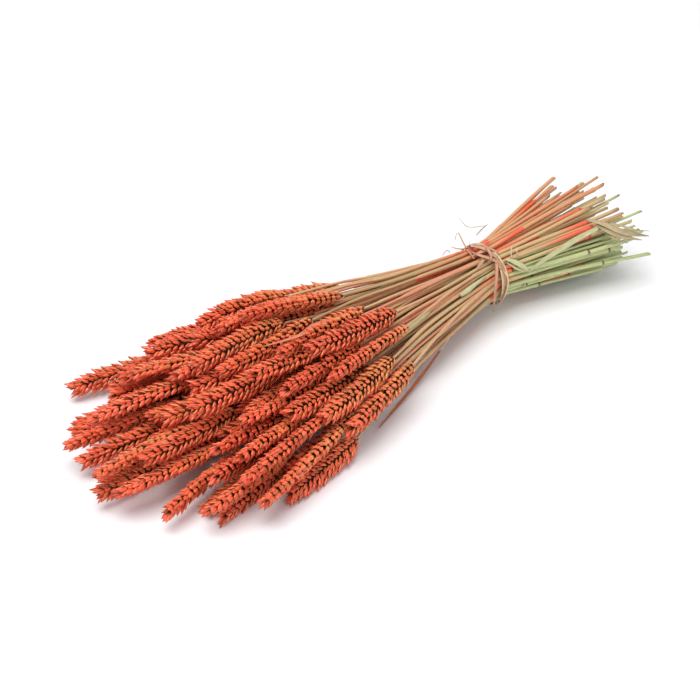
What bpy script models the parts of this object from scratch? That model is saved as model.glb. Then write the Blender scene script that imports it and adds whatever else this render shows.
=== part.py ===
"""A tied bunch of dried, dyed wheat that lies on a table.

The bunch runs along X: ears towards -X, cut ends towards +X, with the raffia tie between them.
Every stalk is a stem and an ear. Their places come from a rule: each stalk starts on a spiral of
points in the tie, fans out to both sides, and is then moved until no two of them share a place.
"""

import math
import random

import bmesh
import bpy
import numpy as np
from mathutils import Vector

# The bunch, in metres. The tie's middle is at x = 0 and the table at z = 0 while it is laid out
STALKS = 72
FUSED_PAIRS = 15  # ears pressed so hard against a neighbour that the two are one body
SEED = 58
TIE_RADIUS = 0.0255
TIE_HEIGHT = 0.034  # of the tie's middle over the table
TIE_HALF = 0.012  # the stems run straight this far to each side of the tie
EAR_REACH = (0.220, 0.403)  # from the tie to the shortest and the longest stalk's tip
SHORTER_AT_SIDES = (0.14, 0.10)  # share by which the near and the far side's ears reach less
COLUMN = 6  # stalks over each other, of which the upper ones are the shorter ones
COLUMN_STRAY = 0.7  # how far a reach strays within its place in the column
SHUFFLE = 0.34  # how far that order is mixed, as a share of the tie's radius
CUT_REACH = (0.100, 0.145)  # from the tie to the cut ends
FAN_EARS = 0.070  # the smaller, the sooner the ears spread sideways
FAN_CUT = 0.056
FAN_CUT_RISE = 0.140
PILE_HEIGHT = 0.059  # of the ears' middles, from the lowest to the highest
PILE_FROM = 0.280  # from here to the tips the fan lies flat on the table
SWAY = (0.012, 0.006)  # how far a tip strays from the even fan, sideways and in height

# One stalk
EAR_LENGTH = (0.084, 0.104)
EAR_RADIUS = (0.0071, 0.0083)
BASE_SHARE, BASE_END = 0.55, 0.16  # an ear's radius at its base, and where it is full
TIP_SHARE, TIP_START, TIP_END = 0.28, 0.62, 1.04  # and how it narrows to its tip
FOOT_RADIUS = (0.0017, 0.0023)
NECK_RADIUS = 0.0014
STEM_OFF_TABLE = 0.0002  # at least
EAR_GAP = 0.0004  # between an ear's base and its stem
CLEARANCE = 0.0006  # between any two stalks

# An ear's relief: two rows of spikelets that take turns along it
EAR_SIDES = 6
EAR_LEVELS = 11
NOTCH = 0.36  # how far the rachis side lies below a spikelet's tip
LEAN = 0.55  # how far a spikelet's tip points forward, in levels

# The keys of a stalk, from its cut end to its tip
KEYS = 9
STEM_KEYS = 7
NECK, MIDDLE, TIP = 6, 7, 8

# Laying out
ROUNDS = 500
STATION = 0.0075
SETTLE_UNTIL, MEMORY_UNTIL, STIFF_UNTIL = 0.68, 0.78, 0.84  # shares of the rounds
STIFFNESS, LATE_STIFFNESS = 0.25, 0.06
AT_TIE, AT_MIDDLE = 0.15, 1.6  # how much less and more stiff the tie's and the ear's keys are
MEMORY = 0.02
PAIRED_FROM = 0.25  # share of the rounds
SIDE_BY_SIDE = 0.6  # of the shortest ear's stations, for two ears to be paired
PRESSED = 0.66  # distance of two fused ears, as a share of that of two free ones
FLOOR_SHARE = 0.80  # an ear on the table is pressed this flat

# The tie
CORE_RADIUS = TIE_RADIUS - 0.0020
CORE_HALF = 0.005
CORE_SIDES = 18
BAND_HALF_THICK = 0.0006
BAND_HALF_WIDE = (0.0018, 0.0014)  # of the two turns of raffia
BAND_TURN = (8.0, -7.0)  # degrees about the vertical, so that they cross on top and below
BAND_SHIFT = (-0.0008, 0.0005)  # along the bunch
BAND_RADIUS = (TIE_RADIUS + 0.0017, TIE_RADIUS + 0.0014)
BAND_SIDES = (26, 23)
BAND_SECTION = 6
KNOT_SIZE = (0.0075, 0.0055, 0.0028)
KNOT_ROLL = -14.0  # degrees round the bunch from its top towards -Y
KNOT_OUT = 0.75  # of its half height, from the outer turn of raffia
TAIL_RADIUS = 0.0007

# Raffia ends as (x, y, z) from the tie's middle: one hangs down, two curl up behind the knot
TAILS = (
    ((0.0036, -0.0246, 0.0110), (0.0020, -0.0278, 0.0010), (0.0004, -0.0280, -0.0110),
     (-0.0012, -0.0262, -0.0240)),
    ((-0.0010, -0.0060, 0.0272), (-0.0130, 0.0010, 0.0310), (-0.0240, 0.0100, 0.0370),
     (-0.0290, 0.0060, 0.0350)),
    ((0.0020, -0.0020, 0.0270), (-0.0020, 0.0140, 0.0330), (-0.0080, 0.0260, 0.0400)),
)

# Dry leaf blades as (x, y, z, half width) from the tie's middle. Each starts inside a stem
BLADE_THICK = 0.0006
BLADES = (
    ((0.0200, -0.0180, 0.0160, 0.0012), (0.0300, -0.0260, 0.0120, 0.0026),
     (0.0420, -0.0290, 0.0160, 0.0026), (0.0600, -0.0290, 0.0215, 0.0026),
     (0.0860, -0.0330, 0.0240, 0.0030), (0.1120, -0.0430, 0.0130, 0.0026),
     (0.1360, -0.0540, -0.0020, 0.0008)),
    ((-0.1000, -0.0380, -0.0200, 0.0008), (-0.1250, -0.0560, -0.0270, 0.0014),
     (-0.1600, -0.0740, -0.0310, 0.0014), (-0.1950, -0.0860, -0.0320, 0.0006)),
)

STRAW = (0.62, 0.50, 0.30, 1.0)
DYED = (0.72, 0.16, 0.06, 1.0)
RAFFIA_TAN = (0.60, 0.42, 0.26, 1.0)


def clear_scene():
    for obj in list(bpy.data.objects):
        bpy.data.objects.remove(obj)


def material(name, colour, roughness):
    made = bpy.data.materials.new(name)
    made.use_nodes = True
    shader = made.node_tree.nodes["Principled BSDF"]
    shader.inputs["Base Color"].default_value = colour
    shader.inputs["Roughness"].default_value = roughness
    made.diffuse_color = colour
    return made


def ease(t):
    t = min(1.0, max(0.0, t))
    return t * t * (3 - 2 * t)


def ear_profile(u):
    """Share of the ear's full radius at u, from 0 at its base to 1 at its tip."""
    base = BASE_SHARE + (1 - BASE_SHARE) * ease(u / BASE_END)
    tip = 1 - (1 - TIP_SHARE) * ease((u - TIP_START) / (TIP_END - TIP_START))
    return base * tip


def even_disc(count):
    """Points spread evenly over a unit disc, on a spiral with the golden angle."""
    turn = math.pi * (3 - math.sqrt(5))
    places = []
    for i in range(count):
        radius = math.sqrt((i + 0.5) / count)
        places.append((radius * math.cos(i * turn), radius * math.sin(i * turn)))
    return places


def fan_place(x, across, up, stray):
    """Where the even fan puts a stalk at x: across and up are its place in the tie's unit disc."""
    if x >= 0:
        y = TIE_RADIUS * across * math.hypot(1, x / FAN_CUT)
        return y, TIE_HEIGHT + TIE_RADIUS * up * math.hypot(1, x / FAN_CUT_RISE)
    share = -x / EAR_REACH[1]
    y = TIE_RADIUS * across * math.hypot(1, x / FAN_EARS) + stray[0] * share
    chord = math.sqrt(max(0.0, 1 - across * across))
    piled = EAR_RADIUS[1] + 0.5 * (up + chord) * PILE_HEIGHT + stray[1] * share
    round_up = TIE_HEIGHT + TIE_RADIUS * up
    flat = ease(-x / PILE_FROM)
    return y, round_up * (1 - flat) + piled * flat


def plan_reaches(places, draw):
    """How far each stalk's tip is from the tie: in every column the lowest reach furthest."""
    reaches = [0.0] * STALKS
    across = sorted(range(STALKS), key=lambda i: places[i][0])
    for first in range(0, STALKS, COLUMN):
        column = across[first : first + COLUMN]
        column.sort(key=lambda i: places[i][1] + draw.gauss(0, SHUFFLE), reverse=True)
        for k, i in enumerate(column):
            share = (k + draw.uniform(1 - COLUMN_STRAY, 1)) / COLUMN
            reaches[i] = EAR_REACH[0] + (EAR_REACH[1] - EAR_REACH[0]) * share
    return reaches


def plan_stalks():
    """The keys' x, their first y and z, and each stalk's sizes, before anything is moved apart."""
    draw = random.Random(SEED)
    disc = even_disc(STALKS)
    reaches = plan_reaches(disc, draw)
    key_x = np.zeros((STALKS, KEYS))
    keys = np.zeros((STALKS, KEYS, 2))
    sizes = []
    for i, (across, up) in enumerate(disc):
        cut = draw.uniform(*CUT_REACH)
        length = draw.uniform(*EAR_LENGTH)
        radius = draw.uniform(*EAR_RADIUS)
        foot = draw.uniform(*FOOT_RADIUS)
        stray = (draw.gauss(0, SWAY[0]), draw.gauss(0, SWAY[1]))
        roll = draw.uniform(0, math.tau)
        reach = reaches[i] * (1 - SHORTER_AT_SIDES[int(across > 0)] * across**2)
        spread = TIE_RADIUS * across * math.hypot(1, reach / FAN_EARS)
        lean = math.cos(math.atan2(spread, reach))
        tip = -reach * lean
        neck = tip + length * lean
        between = [-TIE_HALF + (neck + TIE_HALF) * part / 4 for part in (1, 2, 3)]
        key_x[i] = [cut, TIE_HALF, -TIE_HALF, *between, neck, (neck + tip) / 2, tip]
        keys[i] = [fan_place(x, across, up, stray) for x in key_x[i]]
        sizes.append((radius, foot, roll))
    return key_x, keys, sizes


def stations_of(key_x, sizes):
    """For each stalk and station: the keys' weights there, whether it is there, and how thick."""
    xs = np.arange(-EAR_REACH[1] - STATION, CUT_REACH[1] + STATION, STATION)
    weights = np.zeros((STALKS, len(xs), KEYS))
    there = np.zeros((STALKS, len(xs)), bool)
    thick = np.zeros((STALKS, len(xs)))
    for i in range(STALKS):
        radius, foot, _ = sizes[i]
        for k, x in enumerate(xs):
            j = int(np.clip(np.sum(key_x[i] > x) - 1, 0, KEYS - 2))
            share = (key_x[i, j] - x) / (key_x[i, j] - key_x[i, j + 1])
            weights[i, k, j], weights[i, k, j + 1] = 1 - share, share
            there[i, k] = key_x[i, TIP] - STATION / 3 <= x <= key_x[i, 0] + STATION / 3
            if x > key_x[i, NECK]:
                along = (key_x[i, 0] - x) / (key_x[i, 0] - key_x[i, NECK])
                thick[i, k] = foot + (NECK_RADIUS - foot) * min(1.0, along)
            else:
                along = (key_x[i, NECK] - x) / (key_x[i, NECK] - key_x[i, TIP])
                thick[i, k] = radius * ear_profile(min(1.0, along))
    return xs, weights, there, thick


def press_pairs(places, is_ear):
    """The ears that lie closest along most of their length, two and two."""
    both = is_ear[:, None] & is_ear[None]
    far = np.linalg.norm(places[:, None] - places[None], axis=3)
    shared = both.sum(2)
    mean = np.where(shared > 0, (far * both).sum(2) / np.maximum(shared, 1), np.inf)
    enough = SIDE_BY_SIDE * is_ear.sum(1).min()
    found = []
    taken = set()
    for _, i, j in sorted(
        (mean[i, j], i, j)
        for i in range(STALKS)
        for j in range(i + 1, STALKS)
        if shared[i, j] >= enough
    ):
        if len(found) < FUSED_PAIRS and not taken & {i, j}:
            found.append((i, j))
            taken |= {i, j}
    return found


def straighten(keys, key_x, amount):
    """Each inner key moves towards the line through its neighbours, as a stiff stalk does."""
    moved = keys.copy()
    for j in range(1, KEYS - 1):
        share = (key_x[:, j - 1] - key_x[:, j]) / (key_x[:, j - 1] - key_x[:, j + 1])
        line = keys[:, j - 1] * (1 - share)[:, None] + keys[:, j + 1] * share[:, None]
        stiff = amount * {1: AT_TIE, 2: AT_TIE, MIDDLE: AT_MIDDLE}.get(j, 1.0)
        moved[:, j] += stiff * (line - keys[:, j])
    return moved


def lay_out():
    """The stalks' keys once no two share a place, and which ears are fused."""
    key_x, keys, sizes = plan_stalks()
    xs, weights, there, thick = stations_of(key_x, sizes)
    is_ear = there & (xs[None] < key_x[:, NECK, None])
    meet = there[:, None] & there[None] & ~np.eye(STALKS, dtype=bool)[:, :, None]
    hold = TIE_RADIUS - np.array([foot for _, foot, _ in sizes])
    floor_share = np.where(is_ear, FLOOR_SHARE, 1.0)
    middle = np.array([0, TIE_HEIGHT])
    first = keys.copy()
    closer = np.ones(meet.shape)
    pairs = []
    for turn in range(ROUNDS):
        part = turn / ROUNDS
        places = np.einsum("nkm,nmc->nkc", weights, keys)
        slope = np.gradient(places, xs, axis=1)
        tilt = np.sqrt(1 + (slope**2).sum(2))
        if not pairs and part > PAIRED_FROM:
            pairs = press_pairs(places, is_ear)
            for i, j in pairs:
                together = is_ear[i] & is_ear[j]
                closer[i, j] = closer[j, i] = np.where(together, PRESSED, 1)
        room = (thick + CLEARANCE / 2) * tilt
        apart = places[:, None] - places[None]
        far = np.linalg.norm(apart, axis=3) + 1e-9
        need = (room[:, None] + room[None]) * closer
        short = np.where(meet, np.maximum(0, need - far), 0)
        short -= np.where(closer < 1, np.maximum(0, far - need), 0)
        push = (apart / far[..., None] * (0.5 * short)[..., None]).sum(1)
        sunk = np.maximum(0, floor_share * thick * tilt - places[..., 1]) * there
        push[..., 1] += sunk
        touched = (short != 0).any(1) | (sunk > 0)
        total = np.einsum("nkm,nkc->nmc", weights, push)
        count = np.einsum("nkm,nk->nm", weights, touched)
        keys += total / np.maximum(count, 0.5)[..., None]
        if part < STIFF_UNTIL:
            stiff = STIFFNESS if part < SETTLE_UNTIL else LATE_STIFFNESS
            keys = straighten(keys, key_x, stiff)
        if part < MEMORY_UNTIL:
            keys += MEMORY * (first - keys)
        for j in (1, 2):
            out = keys[:, j] - middle
            far_out = np.linalg.norm(out, axis=1)
            keys[:, j] = middle + out * np.minimum(1, hold / far_out)[:, None]
    points = np.dstack([key_x, keys[..., 0], keys[..., 1]])
    return points, sizes, pairs, float(short.max())


def mesh_object(name, points, faces, finish):
    mesh = bpy.data.meshes.new(name)
    mesh.from_pydata([tuple(p) for p in points], [], faces)
    mesh.validate()
    obj = bpy.data.objects.new(name, mesh)
    obj.data.materials.append(finish)
    bpy.context.scene.collection.objects.link(obj)
    return obj


def bend(points, u):
    """A point and the direction on the parabola through an ear's base, middle and tip."""
    base, middle, tip = points
    at = base * (2 * (u - 0.5) * (u - 1)) + middle * (4 * u * (1 - u)) + tip * (2 * u * (u - 0.5))
    along = base * (4 * u - 3) + middle * (4 - 8 * u) + tip * (4 * u - 1)
    return at, along.normalized()


def make_ear(name, points, radius, roll, finish):
    """An ear as one loft: its rings rise into spikelets on one side and then on the other."""
    line = [Vector(p) for p in points[NECK:]]
    start, along = bend(line, 0)
    line[0] = start + along * EAR_GAP
    up = Vector((0, 0, 1))
    origin = line[0].copy()
    length = (line[2] - line[0]).length
    verts = []
    for level in range(EAR_LEVELS + 1):
        u = level / EAR_LEVELS
        at, along = bend(line, u)
        side = along.cross(up).normalized()
        over = side.cross(along)
        ends = level in (0, EAR_LEVELS)
        for k in range(EAR_SIDES):
            angle = math.tau * k / EAR_SIDES
            row = math.cos(angle) * (-1) ** level
            stands_out = 0.5 + 0.5 * row
            reach = radius * ear_profile(u) * (1 - NOTCH * (1 - stands_out))
            flat = side * math.cos(angle + roll) + over * math.sin(angle + roll)
            forward = 0 if ends else LEAN * (stands_out - 0.5) * length / EAR_LEVELS
            spot = at + flat * reach + along * forward
            spot.z = max(0.0, spot.z)
            verts.append(spot - origin)
    faces = []
    for level in range(EAR_LEVELS):
        for k in range(EAR_SIDES):
            a = level * EAR_SIDES + k
            b = level * EAR_SIDES + (k + 1) % EAR_SIDES
            faces.append((a, b, b + EAR_SIDES, a + EAR_SIDES))
    last = EAR_LEVELS * EAR_SIDES
    faces.append(tuple(reversed(range(EAR_SIDES))))
    faces.append(tuple(range(last, last + EAR_SIDES)))
    ear = mesh_object(name, verts, faces, finish)
    face_out(ear.data)
    ear.location = origin
    return ear


def face_out(mesh):
    shape = bmesh.new()
    shape.from_mesh(mesh)
    bmesh.ops.triangulate(shape, faces=shape.faces)
    bmesh.ops.recalc_face_normals(shape, faces=shape.faces)
    shape.to_mesh(mesh)
    shape.free()


def tubes(name, paths, finish):
    """A four-sided tube along each path of (point, radius), all in one mesh."""
    data = bpy.data.curves.new(name, "CURVE")
    data.dimensions = "3D"
    data.bevel_depth = 1.0
    data.bevel_resolution = 0
    data.use_fill_caps = True
    for path in paths:
        spline = data.splines.new("POLY")
        spline.points.add(len(path) - 1)
        for point, (place, radius) in zip(spline.points, path):
            point.co = (*place, 1)
            point.radius = radius
    curve = bpy.data.objects.new(name, data)
    bpy.context.scene.collection.objects.link(curve)
    graph = bpy.context.evaluated_depsgraph_get()
    mesh = bpy.data.meshes.new_from_object(curve.evaluated_get(graph))
    shape = bmesh.new()
    shape.from_mesh(mesh)
    bmesh.ops.remove_doubles(shape, verts=shape.verts, dist=1e-6)
    shape.to_mesh(mesh)
    shape.free()
    face_out(mesh)
    bpy.data.objects.remove(curve)
    obj = bpy.data.objects.new(name, mesh)
    obj.data.materials.append(finish)
    bpy.context.scene.collection.objects.link(obj)
    return obj


def fuse(base, others, own_overlaps=False):
    """Joins the others to the base with one Boolean union, applies it and removes them."""
    group = bpy.data.collections.new("joined")
    for other in others:
        group.objects.link(other)
    join = base.modifiers.new("join", "BOOLEAN")
    join.operation = "UNION"
    join.operand_type = "COLLECTION"
    join.collection = group
    join.use_self = own_overlaps
    graph = bpy.context.evaluated_depsgraph_get()
    base.data = bpy.data.meshes.new_from_object(base.evaluated_get(graph))
    base.modifiers.clear()
    for other in others:
        bpy.data.objects.remove(other)
    bpy.data.collections.remove(group)
    return base


def nearest_on_stems(stalks, place):
    """The nearest point to place on any stem's line."""
    best = None
    for points in stalks:
        line = [Vector(p) for p in points[:STEM_KEYS]]
        for a, b in zip(line, line[1:]):
            t = (place - a).dot(b - a) / (b - a).length_squared
            spot = a.lerp(b, min(1.0, max(0.0, t)))
            if best is None or (spot - place).length < (best - place).length:
                best = spot
    return best


def make_blade(stalks, blade, finish):
    """A leaf blade: a thin strip that lies round the bunch and starts in the nearest stem."""
    line = [Vector((x, y, z + TIE_HEIGHT)) for x, y, z, _ in blade]
    line[0] = nearest_on_stems(stalks, line[0])
    verts = []
    for k, place in enumerate(line):
        along = (line[min(k + 1, len(line) - 1)] - line[max(k - 1, 0)]).normalized()
        out = Vector((0, place.y, place.z - TIE_HEIGHT)).normalized()
        side = along.cross(out).normalized()
        out = side.cross(along)
        half = blade[k][3]
        for across, thick in ((-1, -1), (1, -1), (1, 1), (-1, 1)):
            verts.append(place + side * half * across + out * BLADE_THICK / 2 * thick)
    faces = [(3, 2, 1, 0)]
    for k in range(len(line) - 1):
        for j in range(4):
            a = 4 * k + j
            b = 4 * k + (j + 1) % 4
            faces.append((a, b, b + 4, a + 4))
    last = 4 * (len(line) - 1)
    faces.append((last, last + 1, last + 2, last + 3))
    obj = mesh_object("blade", verts, faces, finish)
    face_out(obj.data)
    return obj


def make_stems(stalks, sizes, finish):
    """All stems, held together in the tie by a small core that they stand out of."""
    paths = []
    for points, (_, foot, _) in zip(stalks, sizes):
        line = [Vector(p) for p in points[:STEM_KEYS]]
        whole = line[0].x - line[-1].x
        path = []
        for place in line:
            share = (line[0].x - place.x) / whole
            radius = foot + (NECK_RADIUS - foot) * share
            place.z = max(place.z, radius + STEM_OFF_TABLE)
            path.append((place, radius))
        paths.append(path)
    stems = tubes("all_stems", paths, finish)
    blades = [make_blade(stalks, blade, finish) for blade in BLADES]
    bpy.ops.mesh.primitive_cylinder_add(
        vertices=CORE_SIDES, radius=CORE_RADIUS, depth=2 * CORE_HALF, location=(0, 0, TIE_HEIGHT),
        rotation=(0, math.pi / 2, 0),
    )
    core = bpy.context.object
    core.name = "stems"
    core.data.materials.append(finish)
    return fuse(core, [stems, *blades], own_overlaps=True)


def make_tie(finish):
    """The raffia: two turns that cross, a flat knot on top of them and its loose ends."""
    pieces = []
    for k in range(2):
        bpy.ops.mesh.primitive_torus_add(
            major_segments=BAND_SIDES[k], minor_segments=BAND_SECTION, major_radius=BAND_RADIUS[k],
            minor_radius=BAND_HALF_THICK, location=(BAND_SHIFT[k], 0, TIE_HEIGHT),
            rotation=(0, math.pi / 2, math.radians(BAND_TURN[k])),
        )
        band = bpy.context.object
        band.scale = (1, 1, BAND_HALF_WIDE[k] / BAND_HALF_THICK)
        pieces.append(band)
    roll = math.radians(KNOT_ROLL)
    out = Vector((0, math.sin(roll), math.cos(roll)))
    bpy.ops.mesh.primitive_uv_sphere_add(
        segments=8, ring_count=6, radius=1,
        location=Vector((0, 0, TIE_HEIGHT)) + out * (BAND_RADIUS[0] + KNOT_SIZE[2] * KNOT_OUT),
        rotation=(-roll, 0, 0),
    )
    knot = bpy.context.object
    knot.scale = KNOT_SIZE
    pieces.append(knot)
    paths = [
        [(Vector((x, y, z + TIE_HEIGHT)), TAIL_RADIUS) for x, y, z in tail] for tail in TAILS
    ]
    pieces.append(tubes("tails", paths, finish))
    first = pieces[0]
    first.name = "raffia_tie"
    first.data.materials.append(finish)
    return fuse(first, pieces[1:], own_overlaps=True)


def settle_frame(nodes):
    """Gathers all under one empty and moves it until the box's bottom middle is at the origin."""
    bunch = bpy.data.collections.new("wheat_bunch")
    bpy.context.scene.collection.children.link(bunch)
    frame = bpy.data.objects.new("wheat_bunch", None)
    bunch.objects.link(frame)
    for node in nodes:
        for other in node.users_collection:
            other.objects.unlink(node)
        bunch.objects.link(node)
    bpy.context.view_layer.update()
    corners = [n.matrix_world @ v.co for n in nodes for v in n.data.vertices]
    for node in nodes:
        node.parent = frame
    x = [c.x for c in corners]
    y = [c.y for c in corners]
    z = [c.z for c in corners]
    frame.location = (-(min(x) + max(x)) / 2, -(min(y) + max(y)) / 2, -min(z))


def main():
    clear_scene()
    dyed = material("dyed_ear", DYED, 0.5)
    straw = material("straw", STRAW, 0.55)
    raffia = material("raffia", RAFFIA_TAN, 0.7)
    stalks, sizes, pairs, worst = lay_out()
    print(f"laid out, worst overlap {worst * 1000:.2f} mm, {len(pairs)} pairs")
    nodes = [make_stems(stalks, sizes, straw), make_tie(raffia)]
    partner = dict(pairs)
    second = set(partner.values())
    for i in range(STALKS):
        if i in second:
            continue
        radius, _, roll = sizes[i]
        ear = make_ear(f"ear_{len(nodes) - 1:02d}", stalks[i], radius, roll, dyed)
        if i in partner:
            j = partner[i]
            other = make_ear("other", stalks[j], sizes[j][0], sizes[j][2], dyed)
            ear = fuse(ear, [other])
        nodes.append(ear)
    settle_frame(nodes)


main()
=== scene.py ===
import math
import random
from functools import partial

import bpy
import numpy as np
from mathutils import Matrix, Vector


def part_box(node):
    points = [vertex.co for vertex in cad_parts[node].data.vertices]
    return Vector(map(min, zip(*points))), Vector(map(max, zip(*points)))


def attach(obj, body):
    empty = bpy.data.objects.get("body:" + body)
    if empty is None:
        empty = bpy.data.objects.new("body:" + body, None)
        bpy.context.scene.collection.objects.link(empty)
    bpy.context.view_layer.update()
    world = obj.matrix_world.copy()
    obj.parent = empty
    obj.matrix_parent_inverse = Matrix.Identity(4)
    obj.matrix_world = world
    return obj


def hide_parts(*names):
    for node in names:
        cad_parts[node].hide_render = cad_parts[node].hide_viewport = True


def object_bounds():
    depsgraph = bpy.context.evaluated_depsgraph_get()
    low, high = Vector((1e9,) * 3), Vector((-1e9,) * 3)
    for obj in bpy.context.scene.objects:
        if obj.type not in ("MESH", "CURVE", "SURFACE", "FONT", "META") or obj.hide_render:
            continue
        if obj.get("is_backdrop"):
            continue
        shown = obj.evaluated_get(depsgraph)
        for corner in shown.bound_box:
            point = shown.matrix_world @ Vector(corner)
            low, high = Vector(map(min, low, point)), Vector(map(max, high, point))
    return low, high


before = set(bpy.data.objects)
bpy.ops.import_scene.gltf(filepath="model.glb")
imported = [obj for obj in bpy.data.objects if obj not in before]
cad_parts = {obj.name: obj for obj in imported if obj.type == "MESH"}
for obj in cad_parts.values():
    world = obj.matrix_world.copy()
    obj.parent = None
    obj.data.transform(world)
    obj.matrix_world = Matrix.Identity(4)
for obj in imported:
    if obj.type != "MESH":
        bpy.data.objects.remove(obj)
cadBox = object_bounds()


# How the bunch is laid out, in metres, with the tie's middle over x = 0 and y = 0.
# These are the same values and steps as in the part's source, so every ear lands on its solid.
bunch = {
    "stalks": 72,
    "fusedPairs": 15,
    "seed": 58,
    "tieRadius": 0.0255,
    "tieHeight": 0.034,
    "tieHalf": 0.012,
    "earReach": (0.220, 0.403),
    "shorterAtSides": (0.14, 0.10),
    "column": 6,
    "columnStray": 0.7,
    "shuffle": 0.34,
    "cutReach": (0.100, 0.145),
    "fanEars": 0.070,
    "fanCut": 0.056,
    "fanCutRise": 0.140,
    "pileHeight": 0.059,
    "pileFrom": 0.280,
    "sway": (0.012, 0.006),
    "earLength": (0.084, 0.104),
    "earRadius": (0.0071, 0.0083),
    "baseShare": 0.55,
    "baseEnd": 0.16,
    "tipShare": 0.28,
    "tipStart": 0.62,
    "tipEnd": 1.04,
    "footRadius": (0.0017, 0.0023),
    "neckRadius": 0.0014,
    "clearance": 0.0006,
    "keys": 9,
    "neck": 6,
    "middle": 7,
    "tip": 8,
    "rounds": 500,
    "station": 0.0075,
    "settleUntil": 0.68,
    "memoryUntil": 0.78,
    "stiffUntil": 0.84,
    "stiffness": 0.25,
    "lateStiffness": 0.06,
    "atTie": 0.15,
    "atMiddle": 1.6,
    "memory": 0.02,
    "pairedFrom": 0.25,
    "sideBySide": 0.6,
    "pressed": 0.66,
    "floorShare": 0.80,
}


def ease(t):
    t = min(1.0, max(0.0, t))
    return t * t * (3 - 2 * t)


def earProfile(u):
    base = bunch["baseShare"] + (1 - bunch["baseShare"]) * ease(u / bunch["baseEnd"])
    narrowing = (u - bunch["tipStart"]) / (bunch["tipEnd"] - bunch["tipStart"])
    return base * (1 - (1 - bunch["tipShare"]) * ease(narrowing))


def evenDisc(count):
    turn = math.pi * (3 - math.sqrt(5))
    places = []
    for i in range(count):
        radius = math.sqrt((i + 0.5) / count)
        places.append((radius * math.cos(i * turn), radius * math.sin(i * turn)))
    return places


def fanPlace(x, across, up, stray):
    radius, height = bunch["tieRadius"], bunch["tieHeight"]
    if x >= 0:
        y = radius * across * math.hypot(1, x / bunch["fanCut"])
        return y, height + radius * up * math.hypot(1, x / bunch["fanCutRise"])
    share = -x / bunch["earReach"][1]
    y = radius * across * math.hypot(1, x / bunch["fanEars"]) + stray[0] * share
    chord = math.sqrt(max(0.0, 1 - across * across))
    piled = bunch["earRadius"][1] + 0.5 * (up + chord) * bunch["pileHeight"] + stray[1] * share
    flat = ease(-x / bunch["pileFrom"])
    return y, (height + radius * up) * (1 - flat) + piled * flat


def planReaches(places, draw):
    reaches = [0.0] * len(places)
    low, high = bunch["earReach"]
    across = sorted(range(len(places)), key=lambda i: places[i][0])
    for first in range(0, len(places), bunch["column"]):
        column = across[first : first + bunch["column"]]
        column.sort(key=lambda i: places[i][1] + draw.gauss(0, bunch["shuffle"]), reverse=True)
        for k, i in enumerate(column):
            share = (k + draw.uniform(1 - bunch["columnStray"], 1)) / bunch["column"]
            reaches[i] = low + (high - low) * share
    return reaches


def planStalks():
    draw = random.Random(bunch["seed"])
    count, tieHalf = bunch["stalks"], bunch["tieHalf"]
    disc = evenDisc(count)
    reaches = planReaches(disc, draw)
    keyX = np.zeros((count, bunch["keys"]))
    keys = np.zeros((count, bunch["keys"], 2))
    sizes = []
    for i, (across, up) in enumerate(disc):
        cut = draw.uniform(*bunch["cutReach"])
        length = draw.uniform(*bunch["earLength"])
        radius = draw.uniform(*bunch["earRadius"])
        foot = draw.uniform(*bunch["footRadius"])
        stray = (draw.gauss(0, bunch["sway"][0]), draw.gauss(0, bunch["sway"][1]))
        roll = draw.uniform(0, math.tau)
        reach = reaches[i] * (1 - bunch["shorterAtSides"][int(across > 0)] * across**2)
        spread = bunch["tieRadius"] * across * math.hypot(1, reach / bunch["fanEars"])
        lean = math.cos(math.atan2(spread, reach))
        tip = -reach * lean
        neck = tip + length * lean
        between = [-tieHalf + (neck + tieHalf) * part / 4 for part in (1, 2, 3)]
        keyX[i] = [cut, tieHalf, -tieHalf, *between, neck, (neck + tip) / 2, tip]
        keys[i] = [fanPlace(x, across, up, stray) for x in keyX[i]]
        sizes.append((radius, foot, roll))
    return keyX, keys, sizes


def stationsOf(keyX, sizes):
    step = bunch["station"]
    xs = np.arange(-bunch["earReach"][1] - step, bunch["cutReach"][1] + step, step)
    count, neck, tip = bunch["stalks"], bunch["neck"], bunch["tip"]
    weights = np.zeros((count, len(xs), bunch["keys"]))
    there = np.zeros((count, len(xs)), bool)
    thick = np.zeros((count, len(xs)))
    for i in range(count):
        radius, foot, _ = sizes[i]
        for k, x in enumerate(xs):
            j = int(np.clip(np.sum(keyX[i] > x) - 1, 0, bunch["keys"] - 2))
            share = (keyX[i, j] - x) / (keyX[i, j] - keyX[i, j + 1])
            weights[i, k, j], weights[i, k, j + 1] = 1 - share, share
            there[i, k] = keyX[i, tip] - step / 3 <= x <= keyX[i, 0] + step / 3
            if x > keyX[i, neck]:
                along = (keyX[i, 0] - x) / (keyX[i, 0] - keyX[i, neck])
                thick[i, k] = foot + (bunch["neckRadius"] - foot) * min(1.0, along)
            else:
                along = (keyX[i, neck] - x) / (keyX[i, neck] - keyX[i, tip])
                thick[i, k] = radius * earProfile(min(1.0, along))
    return xs, weights, there, thick


def pressPairs(places, isEar):
    both = isEar[:, None] & isEar[None]
    far = np.linalg.norm(places[:, None] - places[None], axis=3)
    shared = both.sum(2)
    mean = np.where(shared > 0, (far * both).sum(2) / np.maximum(shared, 1), np.inf)
    enough = bunch["sideBySide"] * isEar.sum(1).min()
    count = bunch["stalks"]
    found = []
    taken = set()
    for _, i, j in sorted(
        (mean[i, j], i, j)
        for i in range(count)
        for j in range(i + 1, count)
        if shared[i, j] >= enough
    ):
        if len(found) < bunch["fusedPairs"] and not taken & {i, j}:
            found.append((i, j))
            taken |= {i, j}
    return found


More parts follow.
